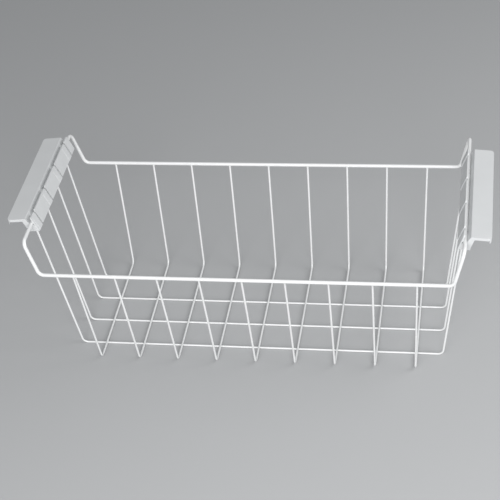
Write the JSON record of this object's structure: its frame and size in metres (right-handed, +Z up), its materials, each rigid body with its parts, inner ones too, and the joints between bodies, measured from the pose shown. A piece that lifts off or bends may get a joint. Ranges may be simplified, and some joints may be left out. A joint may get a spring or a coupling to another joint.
{
  "type": "chest freezer storage basket",
  "caption": "Hanging wire storage basket for a chest freezer, with raised rim ends and turning plastic hangers that hook over the cabinet's edge.",
  "frame": {"origin": "under the middle of the basket, on the surface that the long wires stand on", "axes": "+X along the basket towards the right hanger, +Y from the front rail to the rear rail, +Z up"},
  "size_m": [0.4866, 0.1988, 0.1804],
  "materials": {
    "coated_wire": "glossy white plastic coating over steel wire",
    "hanger_plastic": "satin off-white moulded plastic"
  },
  "bodies": {
    "basket": {"rim_wire": "coated_wire", "cross_wire_1": "coated_wire", "cross_wire_2": "coated_wire", "cross_wire_3": "coated_wire", "cross_wire_4": "coated_wire", "cross_wire_5": "coated_wire", "cross_wire_6": "coated_wire", "cross_wire_7": "coated_wire", "cross_wire_8": "coated_wire", "cross_wire_9": "coated_wire", "long_wire_1": "coated_wire", "long_wire_2": "coated_wire", "long_wire_3": "coated_wire", "long_wire_4": "coated_wire"},
    "left_hanger": {"hanger_left": "hanger_plastic"},
    "right_hanger": {"hanger_right": "hanger_plastic"}
  },
  "joints": [
    {"name": "left_hanger_turn", "type": "hinge", "parent": "basket", "child": "left_hanger", "pos_m": [-0.218, 0.0075, 0.1725], "axis": [0, -1, 0], "range_deg": [-5, 85]},
    {"name": "right_hanger_turn", "type": "hinge", "parent": "basket", "child": "right_hanger", "pos_m": [0.218, -0.0075, 0.1725], "axis": [0, 1, 0], "range_deg": [-5, 85]}
  ]
}
